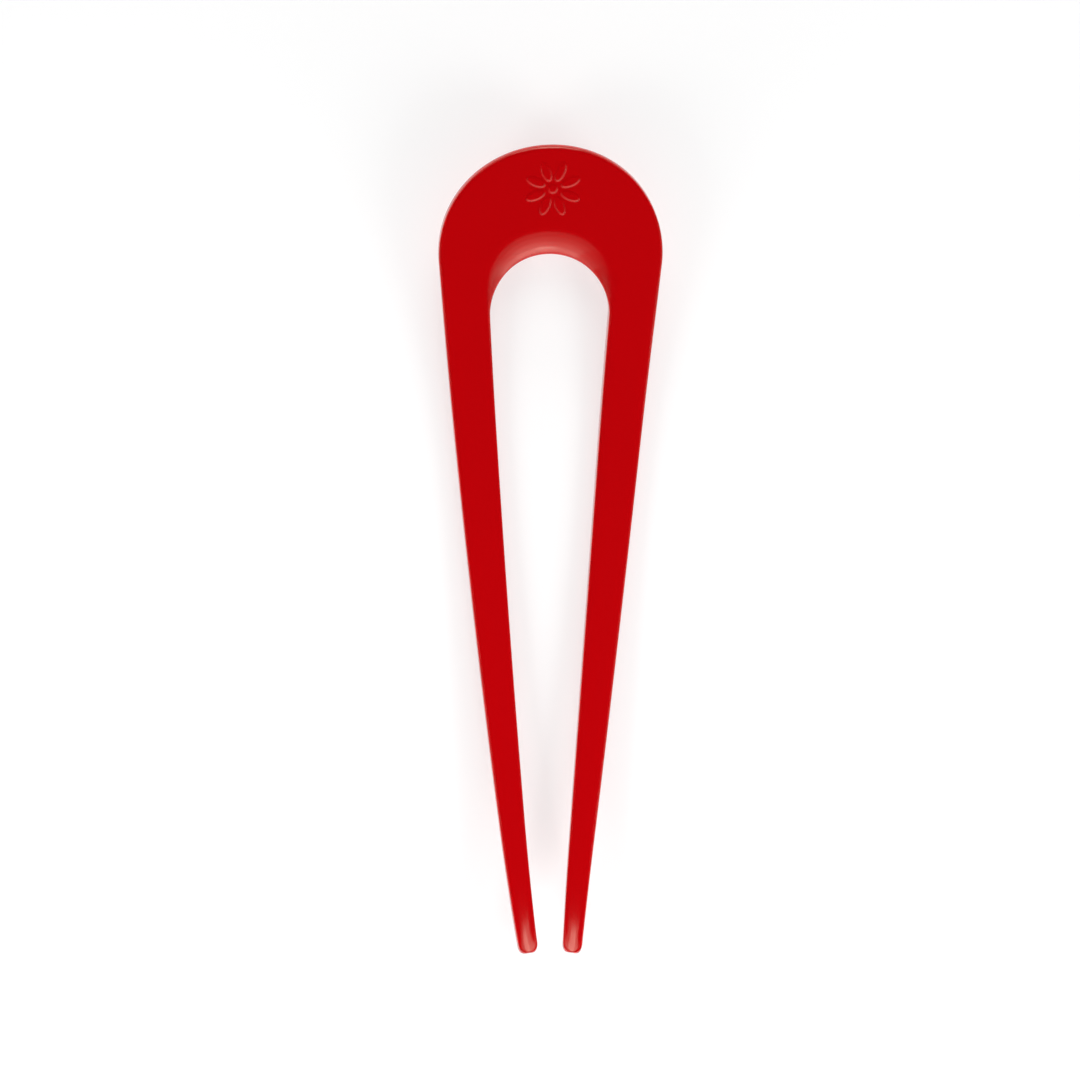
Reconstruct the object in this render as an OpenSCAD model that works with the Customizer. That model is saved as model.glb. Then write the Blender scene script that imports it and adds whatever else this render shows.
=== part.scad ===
// French hair pin: a round head that runs into two tapering prongs, moulded in one piece.
//
// The pin is drawn as a flat blank and then bent. Across the blank is x. Along it is s, which is
// 0 where the bent pin rests and rises towards the head. Height above the back is h.
// The outside and the slot each have a round end arc that runs on into a long flank arc.
// Cuts across the band fan out round the arch, and step down the prongs. Every cut has the
// same closed profile of points [q, h], where q is the distance from the slot's edge.

/* [Head] */
// Radius of the round head
head_r = 16.6; // [15:0.1:18]
// Radius of the arch at the top of the slot
arch_r = 8.85; // [7.5:0.05:9.5]
// Height of the head from the arch to the rim, along the blank
web_h = 16.95; // [14:0.05:19]

/* [Prongs] */
// Length of the blank from the rim to the ends of the prongs
blank_len = 122.9; // [110:0.1:135]
// Lean of each prong's outer edge where it leaves the head, in degrees
outer_lean = 5.25; // [5:0.05:5.5]
// Lean of each prong's slot edge where it leaves the arch, in degrees
slot_lean = 3.63; // [3.4:0.01:3.8]
// Radius of the outer edge's long swell
outer_swell_r = 2400; // [2200:50:2800]
// Radius of the slot edge's long swell
slot_swell_r = 4900; // [4000:100:6000]
// Length over which the end of a prong rounds off in width
end_round = 1.8; // [1.5:0.1:2.4]
// Length over which the back of a prong rises to its end
end_thin = 3.2; // [2.8:0.1:4]

/* [Bend] */
// Distance from the rim to the place that the pin rests on, along the blank
rest_from_rim = 45.9; // [42:0.1:52]
// Radius of the bend from the resting place up through the head
head_bend_r = 105; // [90:1:160]
// Radius of the slight bend of the prongs
prong_bend_r = 500; // [350:10:900]
// Length of the turned-up end of each prong
tip_len = 20; // [15:0.1:25]
// Radius of the turned-up end of each prong
tip_bend_r = 52; // [38:1:80]

/* [Section] */
// Thickness beside the arch
arch_thick = 3.0; // [2.6:0.1:3.5]
// Thickness of the rim at the top of the head
rim_thick = 1.3; // [1.2:0.1:2]
// Thickness near the ends of the prongs
tip_thick = 2.0; // [1.8:0.1:2.6]
// Width of the rolled edge at the top of the arch
roll_w = 5.0; // [3:0.1:5.5]
// Depth of the rolled edge at the top of the arch
roll_h = 1.7; // [1:0.1:1.9]
// Height of the front's crown above its long edges
crown_h = 0.25; // [0.1:0.05:0.4]
// Radius of the front edges of the slot and the prongs
edge_r = 0.3; // [0.2:0.05:0.35]
// Radius of the rim's front edge at the top of the head
rim_edge_r = 0.5; // [0.3:0.05:0.6]
// Radius of the back edges
back_r = 0.5; // [0.2:0.05:0.55]

/* [Rosette] */
// Number of petals
petals = 8; // [8:1:10]
// Distance from the rim to the middle of the rosette, along the blank
rosette_from_rim = 6.4; // [6:0.1:7]
// Radius of the circle that the middles of the petals lie on
petal_ring_r = 2.75; // [2.4:0.05:2.9]
// Length of a petal
petal_len = 3.1; // [2.4:0.1:3.2]
// Width of a petal
petal_w = 1.5; // [1:0.1:1.6]
// Radius of the bead in the middle
bead_r = 0.75; // [0.5:0.05:0.8]
// Height of the relief
relief_h = 0.12; // [0.08:0.01:0.25]

/* [Hidden] */

// Cuts round a half of the head, down a prong, and over its rounded end
fan_cuts = 30;
prong_cuts = 32;
end_cuts = 6;
// Steps of the profile over the front, the rolled edge, each small edge and the back
front_steps = 7;
roll_steps = 4;
edge_steps = 3;
back_steps = 3;

// Places along the blank, and the prongs' slope where they turn up
rim_s = rest_from_rim;
head_s = rim_s - head_r;
arch_s = rim_s - web_h - arch_r;
tip_s = rim_s - blank_len;
turn_up_s = tip_s + tip_len;
turn_up_deg = arc_deg(turn_up_s, prong_bend_r);
rosette_s = rim_s - rosette_from_rim;

// Width of the rolled edge on the prongs, where it has run out
prong_roll_w = 1.2;
// How flat the front's crown is, at first and near the ends of the prongs
crown_power = 5;
tip_crown_power = 2;
// Where the crown's top lies near the ends, as a share of the way from the slot's edge
tip_crown_top = 0.58;
// Depth of the crown that is left at the very ends, as a share of its depth before them
end_crown = 0.4;
// How full the rounded ends are
end_power = 2.5;
// How near the end the front rounds over, and how far below the front the end lies
end_edge = 0.15;
end_drop = 0.12;
// How far, and over what length, the very ends flick up
end_flick = 0.12;
flick_len = 2;
// Lean of the cuts at the ends of the prongs, as rise over run
end_lean = 0.15;
// How far a petal's solid reaches into the head
petal_root = 0.5;
// Sides of a petal's outline
petal_sides = 16;

function arc_deg(length, radius) = length / radius * 180 / PI;
function share(x, from, to) = min(max((x - from) / (to - from), 0), 1);
function mix(a, b, t) = a + (b - a) * t;

// Middle of a flank arc that leaves an end arc of radius r, centred at s = c, at the lean given
function flank_middle(r, c, lean, swell) = [-(swell - r) * cos(lean), c + (swell - r) * sin(lean)];

// Half width at s of an outline made of an end arc and its flank arc
function half_width(s, r, c, lean, swell) =
    let (m = flank_middle(r, c, lean, swell))
    s > c - r * sin(lean)
        ? sqrt(max(r * r - (s - c) * (s - c), 0))
        : m.x + sqrt(swell * swell - (s - m.y) * (s - m.y));

function outer_x(s) = half_width(s, head_r, head_s, outer_lean, outer_swell_r);
function slot_x(s) = half_width(s, arch_r, arch_s, slot_lean, slot_swell_r);

// Distance from the arch's middle, in the direction phi from +s, to a circle of middle m
function ray(phi, m, r) =
    let (d = [m.x, m.y - arch_s], b = d.x * sin(phi) + d.y * cos(phi))
    b + sqrt(b * b - d * d + r * r);

// Direction in which the head's arc meets the flank, seen from the arch's middle
flank_phi = atan2(head_r * cos(outer_lean), head_s - head_r * sin(outer_lean) - arch_s);

function outer_ray(phi) = phi < flank_phi
    ? ray(phi, [0, head_s], head_r)
    : ray(phi, flank_middle(head_r, head_s, outer_lean, outer_swell_r), outer_swell_r);

// Cuts of the right half, each [slot end, outer end, phi, distance to the prong's end]
function fan_cut(phi) =
    let (dir = [sin(phi), cos(phi)], mid = [0, arch_s])
    [mid + arch_r * dir, mid + outer_ray(phi) * dir, phi, arch_s - tip_s];
function prong_cut(s) =
    let (
        half = (outer_x(s) - slot_x(s)) / 2 * end_lean * share(s, arch_s, tip_s),
        a = s + half,
        b = s - half
    )
    [[slot_x(a), a], [outer_x(b), b], 90, s - tip_s];

cuts = [
    for (i = [0:fan_cuts]) fan_cut(90 * i / fan_cuts),
    for (i = [1:prong_cuts]) prong_cut(mix(arch_s, tip_s + end_thin, i / prong_cuts)),
    for (i = [1:end_cuts - 1]) prong_cut(tip_s + end_thin * (1 - sin(90 * i / end_cuts)))
];

// How far a cut has turned from the head's middle, 0, to a prong, 1
function turned(phi) = pow(sin(phi), 2);

// Thickness beside the slot, and at the outer edge
function inner_thick(s) = mix(arch_thick, tip_thick, share(s, arch_s, tip_s));
function outer_thick(s, phi) = mix(rim_thick, inner_thick(s), turned(phi));

// Crown of the front at the share v of the way from the slot to the outer edge, from 0 to 1.
// On the head it drops towards the rim alone, and on a prong it drops towards both edges, less
// and less over the prong's last stretch.
function head_crown(v) = v - pow(v, crown_power);
function prong_crown(v, s) =
    let (
        t = share(s, turn_up_s + tip_len, tip_s),
        top = mix(0.5, tip_crown_top, t),
        off = v < top ? 1 - v / top : (v - top) / (1 - top),
        depth = mix(end_crown, 1, share(s, tip_s, tip_s + end_thin))
    )
    1 - depth * pow(off, mix(crown_power, tip_crown_power, t));

// Radius of the outer front edge
function outer_edge_r(phi) = mix(rim_edge_r, edge_r, turned(phi));

// Width of the rolled edge, and its drop at the distance q from the slot: a parabola that is
// deepest beside the slot. It runs out round the arch faster than the thickness changes.
function rolled(phi) = pow(turned(phi), 2);
function roll_width(phi) = mix(roll_w, prong_roll_w, rolled(phi));
function roll_drop(q, phi) =
    roll_h * (1 - rolled(phi)) * pow(max(1 - q / roll_width(phi), 0), 2);

// Height of the front at the distance q from the slot, on a cut of width w
function front_h(q, w, s, phi) =
    mix(inner_thick(s), outer_thick(s, phi), q / w)
    + crown_h * mix(head_crown(q / w), prong_crown(q / w, s), turned(phi))
    - roll_drop(q, phi);

// A quarter circle as [from the wall, down from the face], from the face to the wall
function quarter(r, steps) =
    [for (i = [1:steps]) let (a = 90 * i / steps) r * [1 - sin(a), 1 - cos(a)]];

// Closed profile of a cut of width w
function profile(w, s, phi) =
    let (
        outer_r = outer_edge_r(phi),
        outer = quarter(outer_r, edge_steps),
        edge = quarter(edge_r, edge_steps),
        back = quarter(back_r, edge_steps)
    )
    [
        for (i = [edge_steps - 1:-1:0])
            let (q = w - outer[i].x) [q, front_h(q, w, s, phi) - outer[i].y],
        for (i = [0:front_steps])
            let (q = mix(w - outer_r, roll_width(phi), i / front_steps)) [q, front_h(q, w, s, phi)],
        for (i = [1:roll_steps])
            let (q = mix(roll_width(phi), edge_r, i / roll_steps)) [q, front_h(q, w, s, phi)],
        for (p = edge) [p.x, front_h(p.x, w, s, phi) - p.y],
        for (i = [edge_steps - 1:-1:0]) [back[i].x, back[i].y],
        for (i = [0:back_steps]) [mix(back_r, w - back_r, i / back_steps), 0],
        for (p = back) [w - p.x, p.y]
    ];

// Height of a prong's end above its back
function end_h(s) = inner_thick(s) + crown_h - end_drop;

// Rise of the last stretch of a prong, at the distance left to its end
function flick(left) = end_flick * pow(1 - share(left, 0, flick_len), 2);

// A curve that rises from 0 at x = 0 to 1 at the length given, as a circle's for a power of 2
function round_over(x, length, power) = pow(1 - pow(1 - share(x, 0, length), power), 1 / power);

// The profile drawn in at the rounded end of a prong: across it towards its middle, and through
// its thickness towards the end's height, where the back rises slowly and the front drops late
function rounded(points, w, s, left) =
    left >= end_thin ? points :
    let (
        mid = [w / 2, end_h(s)],
        across = round_over(left, end_round, end_power),
        below = round_over(left, end_thin, 2),
        above = round_over(left, end_edge, 2)
    )
    [for (p = points) [
        mid.x + (p.x - mid.x) * across,
        mid.y + (p.y - mid.y) * (p.y < mid.y ? below : above) + flick(left)
    ]];

// Slope of the back at s: level at 0, on three arcs that run into each other
function slope(s) =
    s > 0 ? arc_deg(s, head_bend_r) :
    s > turn_up_s ? arc_deg(s, prong_bend_r) :
    turn_up_deg + arc_deg(s - turn_up_s, tip_bend_r);

// Step [y, z] along an arc of radius r from slope a to slope b
function arc_step(r, a, b) = r * [sin(b) - sin(a), cos(a) - cos(b)];

// The blank's point (x, s) at height h, in its place on the bent pin
function bent(x, s, h) =
    let (
        b = slope(s),
        back = s > 0 ? arc_step(head_bend_r, 0, b) :
            s > turn_up_s ? arc_step(prong_bend_r, 0, b) :
            arc_step(prong_bend_r, 0, turn_up_deg) + arc_step(tip_bend_r, turn_up_deg, b)
    )
    [x, back.x - h * sin(b), back.y + h * cos(b)];

// A cut's profile in its place
function placed(cut) =
    let (
        across = cut[1] - cut[0],
        w = norm(across),
        s = (cut[0].y + cut[1].y) / 2,
        loop = rounded(profile(w, s, cut[2]), w, s, cut[3])
    )
    [for (p = loop) let (at = cut[0] + across * p.x / w) bent(at.x, at.y, p.y)];

function mirrored(loop) = [for (p = loop) [-p.x, p.y, p.z]];

right = [for (c = cuts) placed(c)];
last = len(right) - 1;
rings = [for (i = [last:-1:1]) mirrored(right[i]), for (r = right) r];

// The point that closes a prong's end
end_x = (slot_x(tip_s) + outer_x(tip_s)) / 2;
end_point = bent(end_x, tip_s, end_h(tip_s) + end_flick);

// The pin is stood on z = 0 with its length centred on the origin
all_y = [for (r = rings) for (p = r) p.y, end_point.y];
all_z = [for (r = rings) for (p = r) p.z];
rest_place = [0, -(min(all_y) + max(all_y)) / 2, -min(all_z)];

// Skin over a list of equal rings, closed by a point at each end
module skin(rings, first, end) {
    n = len(rings[0]);
    m = len(rings);
    points = [for (r = rings) for (p = r) p, first, end];
    sides = [
        for (i = [0:m - 2]) for (j = [0:n - 1])
            let (a = i * n + j, b = i * n + (j + 1) % n)
            each [[a, b + n, b], [a, a + n, b + n]]
    ];
    caps = [
        for (j = [0:n - 1]) let (k = (j + 1) % n)
            each [[j, k, m * n], [(m - 1) * n + k, (m - 1) * n + j, m * n + 1]]
    ];
    polyhedron(points, concat(sides, caps));
}

// Point of the head's front at (x, s)
function front_point(x, s) =
    let (
        phi = atan2(x, s - arch_s),
        q = norm([x, s - arch_s]) - arch_r,
        w = outer_ray(phi) - arch_r,
        at = fan_cut(phi)
    )
    bent(x, s, front_h(q, w, (at[0].y + at[1].y) / 2, phi));

// Puts children on the head's front at (x, s), turned by the angle given
module on_front(x, s, turn) {
    step = 0.2;
    o = front_point(x, s);
    u = front_point(x + step, s) - front_point(x - step, s);
    t = front_point(x, s + step) - front_point(x, s - step);
    ex = u / norm(u);
    ey = t / norm(t);
    n = cross(ex, ey);
    multmatrix([
        [ex.x, ey.x, n.x, o.x],
        [ex.y, ey.y, n.y, o.y],
        [ex.z, ey.z, n.z, o.z],
        [0, 0, 0, 1]
    ])
    rotate(turn) children();
}

// A low boss of elliptical outline
module boss(length, width) {
    translate([0, 0, -petal_root])
        linear_extrude(petal_root + relief_h)
            polygon([
                for (i = [0:petal_sides - 1])
                    let (a = 360 * i / petal_sides)
                    [width / 2 * cos(a), length / 2 * sin(a)]
            ]);
}

module rosette() {
    on_front(0, rosette_s, 0) boss(2 * bead_r, 2 * bead_r);
    for (i = [0:petals - 1]) {
        turn = 360 * (i + 0.5) / petals;
        on_front(petal_ring_r * sin(turn), rosette_s + petal_ring_r * cos(turn), -turn)
            boss(petal_len, petal_w);
    }
}

module hair_pin() {
    color([0.72, 0.01, 0.04])
    translate(rest_place)
    union() {
        skin(rings, mirrored([end_point])[0], end_point);
        rosette();
    }
}

hair_pin();
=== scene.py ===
"""A French hair pin in glossy red plastic, lying on its curved back on a white table."""
import bpy
import numpy as np
from mathutils import Matrix, Vector


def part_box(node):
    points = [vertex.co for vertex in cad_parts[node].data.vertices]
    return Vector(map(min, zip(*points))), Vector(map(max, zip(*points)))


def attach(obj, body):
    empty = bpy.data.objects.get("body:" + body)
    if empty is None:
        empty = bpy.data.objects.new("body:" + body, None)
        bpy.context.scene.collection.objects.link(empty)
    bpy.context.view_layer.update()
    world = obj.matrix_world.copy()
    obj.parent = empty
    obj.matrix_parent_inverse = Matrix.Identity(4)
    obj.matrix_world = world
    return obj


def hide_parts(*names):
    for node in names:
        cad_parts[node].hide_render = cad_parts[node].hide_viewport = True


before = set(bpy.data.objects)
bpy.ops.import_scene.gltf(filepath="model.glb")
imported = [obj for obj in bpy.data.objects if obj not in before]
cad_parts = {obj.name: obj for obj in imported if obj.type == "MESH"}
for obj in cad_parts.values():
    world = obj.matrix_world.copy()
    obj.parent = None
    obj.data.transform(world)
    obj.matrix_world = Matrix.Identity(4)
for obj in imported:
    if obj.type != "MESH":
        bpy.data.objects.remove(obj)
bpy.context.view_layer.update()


# The hair pin
# One moulding of solid plastic: a round head that runs into two tapering prongs, with a slot
# between them that ends in an arch. It is cut like a flat blank, thinned to a rim at the top of
# the head, rolled over round the arch, and bent along its length with its front on the inside.
# On the blank, in millimetres, x is across, s runs up from the place that the pin rests on, and
# h is the height above the back.
head_r = 16.6
arch_r = 8.85
rim_s = 45.9
arch_top_s = 28.95
tip_s = -77.0
head_s = rim_s - head_r
arch_s = arch_top_s - arch_r
outer_lean, outer_swell_r = np.radians(5.25), 2400.0
slot_lean, slot_swell_r = np.radians(3.63), 4900.0

head_bend_r, prong_bend_r, tip_bend_r = 105.0, 500.0, 52.0
tip_len = 20.0
turn_up_s = tip_s + tip_len

arch_thick, rim_thick, tip_thick = 3.0, 1.3, 2.0
roll_w, prong_roll_w, roll_h = 5.0, 1.2, 1.7
crown_h, crown_power, tip_crown_power, tip_crown_top = 0.25, 5, 2, 0.58
edge_r, rim_edge_r, back_r = 0.3, 0.5, 0.5
end_round, end_power, end_lean = 1.8, 2.5, 0.15
end_thin, end_edge, end_drop = 3.2, 0.15, 0.12
end_flick, flick_len, end_crown = 0.12, 2.0, 0.4

# Places of the cuts: close together as far as the rosette's turn from the head's middle, in
# degrees, wider on the rest of the fan, down the prongs and over their ends
rosette_turn = 14
rosette_cuts, fan_cuts, prong_cuts, end_cuts = 50, 58, 84, 34
# Steps of a cut's outline over a small edge, a wall, the back, the front and the rolled edge
edge_steps, wall_steps, back_steps, front_steps, roll_steps = 6, 4, 22, 110, 32


def share(x, start, end):
    """How far x is on the way from start, 0, to end, 1, and no further."""
    return np.clip((x - start) / (end - start), 0, 1)


def mix(a, b, t):
    """The value at the share t of the way from a to b."""
    return a + (b - a) * t


def flank_middle(r, c, lean, swell):
    """Middle of the long arc that leaves an end arc of radius r about s = c, at the lean given.
    Both arcs have one normal there, so the middle lies on it, a swell's length from the edge."""
    return -(swell - r) * np.cos(lean), c + (swell - r) * np.sin(lean)


def half_width(s, r, c, lean, swell):
    """Half width of an outline at s: a circle above the place where its edge has the lean given,
    and below it a long arc that runs on from the circle."""
    x, y = flank_middle(r, c, lean, swell)
    end_arc = np.sqrt(np.clip(r * r - (s - c) ** 2, 0, None))
    return np.where(s > c - r * np.sin(lean), end_arc, x + np.sqrt(swell * swell - (s - y) ** 2))


def outer_x(s):
    """Half width of the pin at s."""
    return half_width(s, head_r, head_s, outer_lean, outer_swell_r)


def slot_x(s):
    """Half width of the slot at s."""
    return half_width(s, arch_r, arch_s, slot_lean, slot_swell_r)


def outer_ray(phi):
    """Distance from the arch's middle to the pin's edge, at the angle phi from straight up.
    A ray meets a circle where its point's distance from the circle's middle is the radius, and
    the larger root is taken: of the head's circle as far as its end, and of the flank's beyond."""
    def far_root(x, y, r):
        along = x * np.sin(phi) + (y - arch_s) * np.cos(phi)
        return along + np.sqrt(along ** 2 - x ** 2 - (y - arch_s) ** 2 + r * r)
    end_phi = np.arctan2(head_r * np.cos(outer_lean), head_s - head_r * np.sin(outer_lean) - arch_s)
    flank = flank_middle(head_r, head_s, outer_lean, outer_swell_r)
    return np.where(phi < end_phi, far_root(0, head_s, head_r), far_root(*flank, outer_swell_r))


def band_cuts():
    """Cuts across the right half, from the head's middle to the prong's end, as arrays: the slot's
    point, the outer point, the turn phi, and the distance left to the end. They fan out from the
    arch's middle, step evenly down the prong, and crowd as 1 - sine over the rounded end."""
    close, wide = np.linspace(0, rosette_turn, rosette_cuts), np.linspace(rosette_turn, 90, fan_cuts)
    phi = np.radians(np.concatenate([close, wide[1:]]))
    way = np.stack([np.sin(phi), np.cos(phi)], -1)
    middle = np.array([0, arch_s])
    fan_slot = middle + arch_r * way
    fan_outer = middle + outer_ray(phi)[:, None] * way

    down = np.linspace(arch_s, tip_s + end_thin, prong_cuts)[1:]
    crowd = 1 - np.sin(np.linspace(0, np.pi / 2, end_cuts))[1:-1]
    s = np.concatenate([down, tip_s + end_thin * crowd])
    rise = (outer_x(s) - slot_x(s)) / 2 * end_lean * share(s, arch_s, tip_s)
    prong_slot = np.stack([slot_x(s + rise), s + rise], -1)
    prong_outer = np.stack([outer_x(s - rise), s - rise], -1)

    slot = np.concatenate([fan_slot, prong_slot])
    outer = np.concatenate([fan_outer, prong_outer])
    turn = np.concatenate([phi, np.full(len(s), np.pi / 2)])
    left = np.concatenate([np.full(len(phi), arch_s - tip_s), s - tip_s])
    return slot, outer, turn, left


def inner_thick(s):
    """Thickness beside the slot at s."""
    return mix(arch_thick, tip_thick, share(s, arch_s, tip_s))


def roll_width(turned):
    """Width of the rolled edge, which runs out on the prongs."""
    return mix(roll_w, prong_roll_w, turned ** 2)


def front_h(q, w, s, turned):
    """Height of the front at the distance q from the slot, on a cut of width w. It runs evenly
    from the slot to the outer edge, under a crown: with v = q / w, v less a high power of v on the
    head, and on a prong 1 less a power of the distance from the crown's top, which is 1 at both
    edges. Near the end that power falls to 2, and the last stretch flattens. The rolled edge
    takes a parabola off the front, deepest beside the slot."""
    v = q / w
    outer = mix(rim_thick, inner_thick(s), turned)
    near_end = share(s, turn_up_s + tip_len, tip_s)
    power = mix(crown_power, tip_crown_power, near_end)
    top = mix(0.5, tip_crown_top, near_end)
    from_top = np.where(v < top, 1 - v / top, (v - top) / (1 - top))
    depth = mix(end_crown, 1, share(s, tip_s, tip_s + end_thin))
    crown = mix(v - v ** crown_power, 1 - depth * from_top ** power, turned)
    roll = (1 - turned ** 2) * (1 - share(q, 0, roll_width(turned))) ** 2
    return mix(inner_thick(s), outer, v) + crown_h * crown - roll_h * roll


def quarter():
    """A quarter circle as two arrays, from the face to the wall: 1 - sine from the wall, and
    1 - cosine down from the face."""
    a = np.linspace(0, np.pi / 2, edge_steps + 1)[1:]
    return 1 - np.sin(a), 1 - np.cos(a)


def profile(w, s, turned):
    """Closed outline of every cut, as arrays of the distance q from the slot and the height h, one
    row for each cut of width w: the outer edge, the front, the rolled edge, the slot's edge and
    wall, the back between its two edges, and the outer wall. The edges are quarter circles."""
    w, s, turned = w[:, None], s[:, None], turned[:, None]
    outer_r = mix(rim_edge_r, edge_r, turned)
    ox, oy = (outer_r * a for a in quarter())
    ex, ey = (edge_r * a for a in quarter())
    bx, by = (back_r * a for a in quarter())
    flat = np.linspace(0, 1, back_steps + 1)[1:-1]
    wall = np.linspace(0, 1, wall_steps + 1)[1:-1]
    ones = np.ones_like(w)

    roll_end = roll_width(turned)
    edge_q = w - ox[:, ::-1]
    edge_h = front_h(edge_q, w, s, turned) - oy[:, ::-1]
    front_q = mix(w - outer_r, roll_end, np.linspace(0, 1, front_steps + 1))
    roll_q = mix(roll_end, edge_r, np.linspace(0, 1, roll_steps + 1)[1:])
    slot_edge_h = front_h(ex * ones, w, s, turned) - ey
    slot_wall_h = mix(slot_edge_h[:, -1:], back_r, wall)
    outer_wall_h = mix(back_r, edge_h[:, :1], wall)
    q = [edge_q, front_q, roll_q, ex * ones, 0 * wall * ones, bx[::-1] * ones,
         mix(back_r, w - back_r, flat), w - bx, w - 0 * wall]
    h = [edge_h, front_h(front_q, w, s, turned), front_h(roll_q, w, s, turned), slot_edge_h,
         slot_wall_h, by[::-1] * ones, 0 * flat * ones, by * ones, outer_wall_h]
    return np.concatenate(q, 1), np.concatenate(h, 1)


def end_h(s):
    """Height of a prong's end above its back."""
    return inner_thick(s) + crown_h - end_drop


def round_over(x, length, power):
    """A curve from 0 at x = 0 to 1 at the length given, as a circle's for a power of 2."""
    return (1 - (1 - share(x, 0, length)) ** power) ** (1 / power)


def rounded(q, h, w, s, left):
    """The outlines drawn in at the prongs' ends: across them towards their middles, by a curve a
    little fuller than a circle, and through the thickness towards the end's height, where the
    back rises slowly and the front drops late, each by a quarter ellipse. The very end flicks up
    by a parabola."""
    w, s, left = w[:, None], s[:, None], left[:, None]
    q = w / 2 + (q - w / 2) * round_over(left, end_round, end_power)
    below, above = round_over(left, end_thin, 2), round_over(left, end_edge, 2)
    flick = end_flick * (1 - share(left, 0, flick_len)) ** 2
    return q, end_h(s) + (h - end_h(s)) * np.where(h < end_h(s), below, above) + flick


def bent(x, s, h):
    """Points of the blank on the bent pin. Its back follows three arcs that run into each other,
    level at s = 0: sine and 1 - cosine of the slope, times the radius. h stands square to them."""
    tail = turn_up_s / prong_bend_r
    slope = np.where(s > 0, s / head_bend_r, np.maximum(s / prong_bend_r, tail))
    slope = slope + np.minimum(s - turn_up_s, 0) / tip_bend_r
    r = np.where(s > 0, head_bend_r, prong_bend_r)
    kept = np.maximum(slope, tail)
    y = r * np.sin(kept) + tip_bend_r * (np.sin(slope) - np.sin(kept))
    z = r * (1 - np.cos(kept)) + tip_bend_r * (np.cos(kept) - np.cos(slope))
    return np.stack([x, y - h * np.sin(slope), z + h * np.cos(slope)], -1)


# The rosette
# A low ornament on the middle of the head, raised in the mould with it: a bead in a ring of
# petals. Its edges are soft, as they leave a polished mould.
rosette_s = rim_s - 6.4
petal_count = 8
petal_ring_r = 2.75
petal_size = (1.5, 3.1)
bead_size = (1.5, 1.5)
relief_h = 0.12
relief_edge = 0.35
never_zero = 1e-9


def raised(x, y, size):
    """Height of a boss of elliptical outline, from 0 to 1, at x across and y along it. With e the
    ellipse's own radius, 1 on its outline, (1 - e) over e's gradient is about the distance
    inwards. The height rises with that distance over the edge's width, from a quarter of it
    outside the outline, and is eased at both ends."""
    a, b = size[0] / 2, size[1] / 2
    e = np.sqrt((x / a) ** 2 + (y / b) ** 2) + never_zero
    gradient = np.sqrt((x / a ** 2) ** 2 + (y / b ** 2) ** 2) / e + never_zero
    t = share((1 - e) / gradient, -relief_edge / 4, relief_edge)
    return t * t * (3 - 2 * t)


def rosette_h(x, s):
    """Height of the rosette at points x, s of the blank: the highest of its bead and petals."""
    s = (s - rosette_s) * (1 - rim_thick / head_bend_r)
    height = raised(x, s, bead_size)
    for turn in 2 * np.pi * (np.arange(petal_count) + 0.5) / petal_count:
        across = x * np.cos(turn) - s * np.sin(turn)
        along = x * np.sin(turn) + s * np.cos(turn) - petal_ring_r
        height = np.maximum(height, raised(across, along, petal_size))
    return relief_h * height


# The pin's mesh
# The right half's outlines, with the rosette raised on their front, are bent into place and
# mirrored, and the whole runs from the left prong's end round the head to the right one's. All
# points above a third of the thickness count as the front.
slot_points, outer_points, cut_turn, cut_left = band_cuts()
cut_w = np.linalg.norm(outer_points - slot_points, axis=1)
cut_s = (slot_points[:, 1] + outer_points[:, 1]) / 2
q, h = profile(cut_w, cut_s, np.sin(cut_turn) ** 2)
q, h = rounded(q, h, cut_w, cut_s, cut_left)
blank = slot_points[:, None] + (outer_points - slot_points)[:, None] * (q / cut_w[:, None])[..., None]
on_front = h > inner_thick(cut_s)[:, None] / 3
h = h + on_front * rosette_h(blank[..., 0], blank[..., 1])
right_half = bent(blank[..., 0], blank[..., 1], h)
left_half = right_half[:0:-1] * [-1, 1, 1]
rings = np.concatenate([left_half, right_half])
end_x = (slot_x(tip_s) + outer_x(tip_s)) / 2
right_end = bent(end_x, np.array(tip_s), end_h(tip_s) + end_flick)
ends = np.stack([right_end * [-1, 1, 1], right_end])


def tube_mesh(name, rings, ends):
    """Mesh of a closed tube: point j of ring i joins point j + 1 of its ring and point j of ring
    i + 1, the last point of a ring joins its first, and a fan of triangles closes each end."""
    count, around = rings.shape[:2]
    points = np.concatenate([rings.reshape(-1, 3), ends])
    j = np.arange(around)
    k = (j + 1) % around
    row = around * np.arange(count - 1)[:, None]
    quads = np.stack([row + j, row + k, row + around + k, row + around + j], -1).reshape(-1, 4)
    last = around * (count - 1)
    first_fan = np.stack([k, j, np.full(around, len(points) - 2)], -1)
    last_fan = np.stack([last + j, last + k, np.full(around, len(points) - 1)], -1)
    mesh = bpy.data.meshes.new(name)
    mesh.from_pydata(points.tolist(), [], quads.tolist() + first_fan.tolist() + last_fan.tolist())
    mesh.shade_smooth()
    mesh.update()
    return mesh


# The mesh is in metres, and lies on the same place as the solid.
mm_per_m = 1000
rings, ends = rings / mm_per_m, ends / mm_per_m
every = np.concatenate([rings.reshape(-1, 3), ends])
low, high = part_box("hair_pin")
rest_y = (low.y + high.y - every[:, 1].min() - every[:, 1].max()) / 2
place = np.array([0, rest_y, low.z - every[:, 2].min()])
pin_mesh = tube_mesh("hair_pin_moulding", rings + place, ends + place)
pin = bpy.data.objects.new("hair_pin_moulding", pin_mesh)
bpy.context.scene.collection.objects.link(pin)


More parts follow.
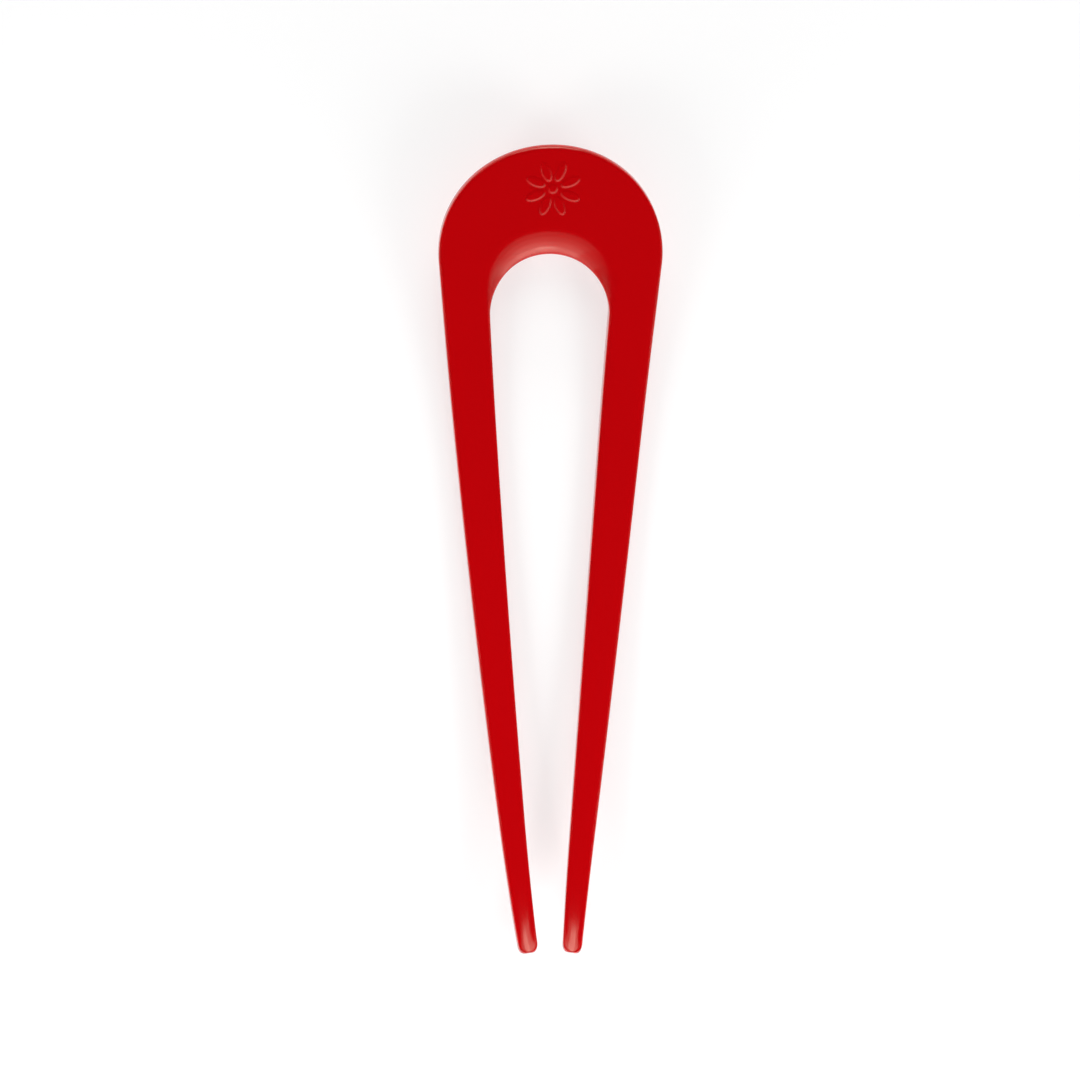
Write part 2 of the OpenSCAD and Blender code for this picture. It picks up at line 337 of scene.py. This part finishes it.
def moulded_surface_group():
    """Shader group for a surface from a polished mould. Colour: the colour given, darkened in
    cloudy patches. Roughness: the roughness given, raised in fine streaks along the part. Normal:
    a shallow ripple and a much finer grain. All patterns are noises of the Object coordinates."""
    group = bpy.data.node_groups.new("moulded_surface", "ShaderNodeTree")
    sockets = group.interface
    sockets.new_socket("Colour", in_out="INPUT", socket_type="NodeSocketColor")
    for name, value in (("Cloud depth", 0.04), ("Roughness", 0.13), ("Streak depth", 0.02),
                        ("Ripple height", 0.000002), ("Grain height", 0.0000002)):
        sockets.new_socket(name, in_out="INPUT", socket_type="NodeSocketFloat").default_value = value
    sockets.new_socket("Colour", in_out="OUTPUT", socket_type="NodeSocketColor")
    sockets.new_socket("Roughness", in_out="OUTPUT", socket_type="NodeSocketFloat")
    sockets.new_socket("Normal", in_out="OUTPUT", socket_type="NodeSocketVector")
    new, link = group.nodes.new, group.links.new
    inner, outer = new("NodeGroupInput"), new("NodeGroupOutput")
    where = new("ShaderNodeTexCoord").outputs["Object"]
    cloud_scale, streak_scale, ripple_scale, grain_scale = 90, 900, 420, 5000
    drawn_out = (1, 0.06, 1)

    def noise(scale, detail, stretch=(1, 1, 1)):
        """Noise of the place, from 0 to 1, stretched along each axis by the shares given."""
        at, pattern = new("ShaderNodeMapping"), new("ShaderNodeTexNoise")
        at.inputs["Scale"].default_value = stretch
        pattern.inputs["Scale"].default_value = scale
        pattern.inputs["Detail"].default_value = detail
        link(where, at.inputs["Vector"])
        link(at.outputs["Vector"], pattern.inputs["Vector"])
        return pattern.outputs["Fac"]

    def maths(operation, *values):
        """Result of a Math node on sockets and numbers."""
        node = new("ShaderNodeMath")
        node.operation = operation
        for socket, value in zip(node.inputs, values):
            if isinstance(value, bpy.types.NodeSocket):
                link(value, socket)
            else:
                socket.default_value = value
        return node.outputs[0]

    darken = new("ShaderNodeMix")
    darken.data_type, darken.blend_type = "RGBA", "MULTIPLY"
    link(maths("MULTIPLY", noise(cloud_scale, 3), inner.outputs["Cloud depth"]), darken.inputs["Factor"])
    link(inner.outputs["Colour"], darken.inputs["A"])
    darken.inputs["B"].default_value = (0, 0, 0, 1)
    link(darken.outputs["Result"], outer.inputs["Colour"])

    streaks = maths("MULTIPLY", noise(streak_scale, 4, drawn_out), inner.outputs["Streak depth"])
    link(maths("ADD", inner.outputs["Roughness"], streaks), outer.inputs["Roughness"])

    ripple, grain = new("ShaderNodeBump"), new("ShaderNodeBump")
    link(noise(ripple_scale, 2), ripple.inputs["Height"])
    link(inner.outputs["Ripple height"], ripple.inputs["Distance"])
    link(noise(grain_scale, 3), grain.inputs["Height"])
    link(inner.outputs["Grain height"], grain.inputs["Distance"])
    link(ripple.outputs["Normal"], grain.inputs["Normal"])
    link(grain.outputs["Normal"], outer.inputs["Normal"])
    return group


def red_plastic_material():
    """Deep red moulded plastic with a smooth, softly glossy skin."""
    material = bpy.data.materials.new("red_plastic")
    material.use_nodes = True
    nodes, link = material.node_tree.nodes, material.node_tree.links.new
    surface = nodes.new("ShaderNodeGroup")
    surface.node_tree = moulded_surface_group()
    surface.inputs["Colour"].default_value = (0.5, 0.0, 0.002, 1)
    surface.inputs["Cloud depth"].default_value = 0.04
    surface.inputs["Roughness"].default_value = 0.13
    surface.inputs["Streak depth"].default_value = 0.02
    surface.inputs["Ripple height"].default_value = 0.000002
    surface.inputs["Grain height"].default_value = 0.0000002
    shader = nodes["Principled BSDF"]
    shader.inputs["IOR"].default_value = 1.65
    shader.inputs["Specular Tint"].default_value = (1.0, 0.8, 0.65, 1)
    link(surface.outputs["Colour"], shader.inputs["Base Color"])
    link(surface.outputs["Roughness"], shader.inputs["Roughness"])
    link(surface.outputs["Normal"], shader.inputs["Normal"])
    return material


pin.data.materials.append(red_plastic_material())
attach(pin, "root")
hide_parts("hair_pin")


# The table
# A plain white sheet, wide enough to fill every view, evenly bright like a light table, so that
# the pin stands on clean white with only a faint shadow where it touches.
table_half = 4.0
table_glow = 0.53


def flat_sheet(name, half, z):
    """Mesh of a square sheet of the half width given, at the height z, facing up."""
    corners = [(-half, -half, z), (half, -half, z), (half, half, z), (-half, half, z)]
    mesh = bpy.data.meshes.new(name)
    mesh.from_pydata(corners, [], [(0, 1, 2, 3)])
    return mesh


table = bpy.data.objects.new("table", flat_sheet("table", table_half, 0))
bpy.context.scene.collection.objects.link(table)
table_white = bpy.data.materials.new("table_white")
table_white.use_nodes = True
table_shader = table_white.node_tree.nodes["Principled BSDF"]
table_shader.inputs["Base Color"].default_value = (0.5, 0.5, 0.5, 1)
table_shader.inputs["Roughness"].default_value = 0.9
table_shader.inputs["Specular IOR Level"].default_value = 0.0
table_shader.inputs["Emission Color"].default_value = (1, 1, 1, 1)
table_shader.inputs["Emission Strength"].default_value = table_glow
table.data.materials.append(table_white)


# The light
# Soft boxes a metre from the pin, under a dark ceiling. A ring of them in front of the prongs is
# mirrored round the rolled arch and on the turned-up ends, and those past the head in the rim.
# Lamps that the gloss doesn't show, and an even glow of the room, light the plastic's colour.
def soft_box(name, tilt, bearing, half_height, half_width, radiance, seen_in_gloss):
    """Rectangular area light a metre from the origin and turned to it, at the tilt from straight
    up and the bearing from the head to the right. Its half sizes are seen from there, and all
    angles are in degrees. A face's power is pi times its area and radiance."""
    tilt, bearing = np.radians(tilt), np.radians(bearing)
    way = Vector((np.sin(tilt) * np.sin(bearing), np.sin(tilt) * np.cos(bearing), np.cos(tilt)))
    across = Vector((np.cos(bearing), -np.sin(bearing), 0))
    data = bpy.data.lights.new(name, "AREA")
    data.shape = "RECTANGLE"
    data.size = 2 * np.tan(np.radians(half_width))
    data.size_y = 2 * np.tan(np.radians(half_height))
    data.energy = np.pi * data.size * data.size_y * radiance
    box = bpy.data.objects.new(name, data)
    face = Matrix((across, way.cross(across), way)).transposed()
    box.matrix_world = Matrix.Translation(way) @ face.to_4x4()
    box.visible_glossy = seen_in_gloss
    bpy.context.scene.collection.objects.link(box)


# The front boxes stand in a ring, in rows that meet edge to edge. Each row is brighter than the
# one above it by the same factor, and each box is dimmed by the cosine squared of its turn from
# the ring's middle, taken a little wider than it is.
ring_middle, ring_step, row_step = 162, 25, 12
top_radiance, row_factor, turn_factor = 0.43, 1.87, 1.05
for row, tilt in enumerate((46, 58, 70, 82)):
    half_width = np.degrees(np.arctan(np.tan(np.radians(ring_step / 2)) * np.sin(np.radians(tilt))))
    for bearing in (110, 135, 160, 185, 210, 235):
        dimmed = np.cos(np.radians(turn_factor * (bearing - ring_middle))) ** 2
        radiance = top_radiance * row_factor ** row * dimmed
        soft_box(f"ring_{bearing}_{tilt}", tilt, bearing, row_step / 2, half_width, radiance, True)

# The other boxes: tilt, bearing, half height, half width, radiance, and whether the gloss shows them
soft_box("strip_front", 78, 172, 2, 6, 2.2, True)
soft_box("past_head_middle", 49, 2, 12, 6, 3.2, True)
soft_box("past_head_left", 49, -12, 12, 7, 0.8, True)
soft_box("past_head_right", 49, 16, 12, 7, 1.6, True)
soft_box("past_head_low", 66, 0, 9, 22, 2.0, True)
soft_box("past_head_wide", 64, 0, 15, 50, 0.6, True)
soft_box("fill_past_head", 78, 0, 9, 32, 3.0, False)
soft_box("fill_front_left", 78, 235, 7, 20, 4.9, False)
soft_box("fill_front_right", 78, 125, 7, 20, 3.2, False)

# A small lamp stands close on each side of the prongs' ends and faces them, so that the pin gets
# a little brighter from its head to its ends.
near_across, near_along, near_height = 0.15, -0.065, 0.12
near_size, near_power = 0.08, 0.148
for side in (-1, 1):
    near = bpy.data.lights.new("beside_prongs", "AREA")
    near.size = near_size
    near.energy = near_power
    near_lamp = bpy.data.objects.new("beside_prongs", near)
    near_lamp.location = (side * near_across, near_along, near_height)
    near_lamp.rotation_euler = (0, side * np.arctan2(near_across, near_height), 0)
    near_lamp.visible_glossy = False
    near_lamp.visible_camera = False
    bpy.context.scene.collection.objects.link(near_lamp)

room = bpy.data.worlds.new("room")
room.use_nodes = True
glow = room.node_tree.nodes["Background"]
glow.inputs["Color"].default_value = (1, 1, 1, 1)
glow.inputs["Strength"].default_value = 0.2
room.cycles_visibility.glossy = False
bpy.context.scene.world = room
bpy.context.scene.view_settings.view_transform = "Standard"


# The camera
# A long lens almost straight above, a little to the pin's left and past its middle, with the head
# at the top of the picture.
camera_yaw, camera_pitch = np.radians(4.613), np.radians(2.905)
camera_aim = Vector((-0.001264, 0.001256, 0.004))
camera_distance = 0.668881

back = Vector((-np.sin(camera_yaw), np.cos(camera_yaw) * np.sin(camera_pitch),
               np.cos(camera_yaw) * np.cos(camera_pitch)))
right = Vector((np.cos(camera_yaw), np.sin(camera_yaw) * np.sin(camera_pitch),
                np.sin(camera_yaw) * np.cos(camera_pitch)))
turn = Matrix((right, back.cross(right), back)).transposed()
camera = bpy.data.objects.new("camera", bpy.data.cameras.new("camera"))
camera.data.lens = 150
camera.data.sensor_width = 36
camera.matrix_world = Matrix.Translation(camera_aim + camera_distance * back) @ turn.to_4x4()
bpy.context.scene.collection.objects.link(camera)
bpy.context.scene.camera = camera
